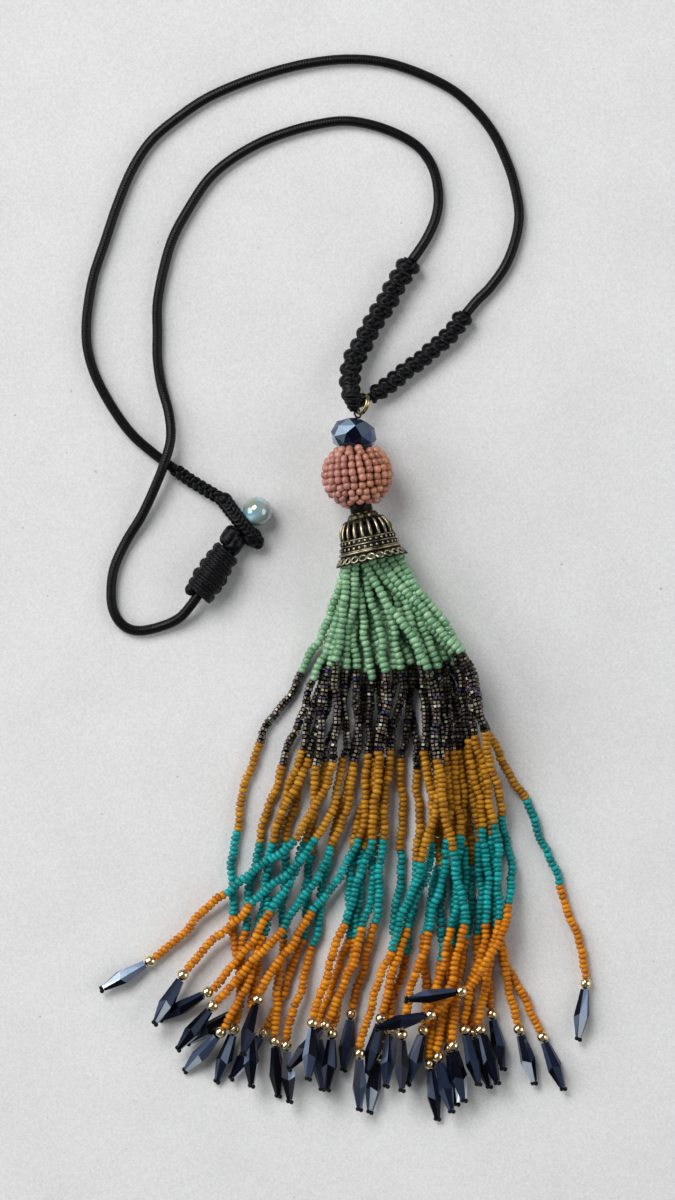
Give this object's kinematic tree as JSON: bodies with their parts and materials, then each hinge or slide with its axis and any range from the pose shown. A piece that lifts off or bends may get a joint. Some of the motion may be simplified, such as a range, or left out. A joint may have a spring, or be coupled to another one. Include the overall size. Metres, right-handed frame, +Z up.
{
  "type": "tassel necklace",
  "caption": "Necklace of knotted cord with a button and loop clasp, a faceted bead, a beaded ball, and a bead tassel tipped with faceted drops in a pierced metal cap.",
  "frame": {"origin": "on the surface that the necklace lies on, under the middle of the pendant from the jump ring to the tassel's longest drop", "axes": "+Y along the necklace from the tassel's ends towards the top of the cord loop, +X to the right seen from above, +Z up from the surface"},
  "size_m": [0.1326, 0.2773, 0.0192],
  "materials": {
    "waxed_cord": "waxed, satin",
    "knotted_cord": "matte knots",
    "aqua_glass": "opaque, iridescent",
    "gold_wire": "polished gold plate",
    "dark_wire": "oxidised",
    "gunmetal_crystal": "opaque, metallic blue-black, faceted",
    "rose_beads": "opaque seed beads, satin",
    "dark_bronze": "oxidised",
    "antique_brass": "antique, dark in the hollows",
    "seed_beads": "opaque and metallic seed beads, glossy",
    "gold_plate": "polished gold plate",
    "dark_crystal": "opaque, metallic blue-black, faceted"
  },
  "bodies": {
    "root": {"cord_outer": "waxed_cord", "cord_inner": "waxed_cord", "ring_cord": "waxed_cord", "button_loop": "waxed_cord", "button_shank": "waxed_cord", "barrel_knot": "waxed_cord", "sleeve_left": "knotted_cord", "sleeve_right": "knotted_cord", "braided_sleeve": "knotted_cord", "button_bead": "aqua_glass", "jump_ring": "gold_wire", "head_pin": "dark_wire", "crystal_bead": "gunmetal_crystal", "beaded_ball": "rose_beads", "collar": "dark_bronze", "cap": "antique_brass", "tassel": "seed_beads", "gold_beads": "gold_plate", "drop_01": "dark_crystal", "drop_02": "dark_crystal", "drop_03": "dark_crystal", "drop_04": "dark_crystal", "drop_05": "dark_crystal", "drop_06": "dark_crystal", "drop_07": "dark_crystal", "drop_08": "dark_crystal", "drop_09": "dark_crystal", "drop_10": "dark_crystal", "drop_11": "dark_crystal", "drop_12": "dark_crystal", "drop_13": "dark_crystal", "drop_14": "dark_crystal", "drop_15": "dark_crystal", "drop_16": "dark_crystal", "drop_17": "dark_crystal", "drop_18": "dark_crystal", "drop_19": "dark_crystal", "drop_20": "dark_crystal", "drop_21": "dark_crystal", "drop_22": "dark_crystal", "drop_23": "dark_crystal", "drop_24": "dark_crystal", "drop_25": "dark_crystal", "drop_26": "dark_crystal", "drop_27": "dark_crystal", "drop_28": "dark_crystal", "drop_29": "dark_crystal", "drop_30": "dark_crystal", "drop_31": "dark_crystal", "drop_32": "dark_crystal", "drop_33": "dark_crystal", "drop_34": "dark_crystal", "drop_35": "dark_crystal", "drop_36": "dark_crystal", "drop_37": "dark_crystal"}
  },
  "joints": []
}
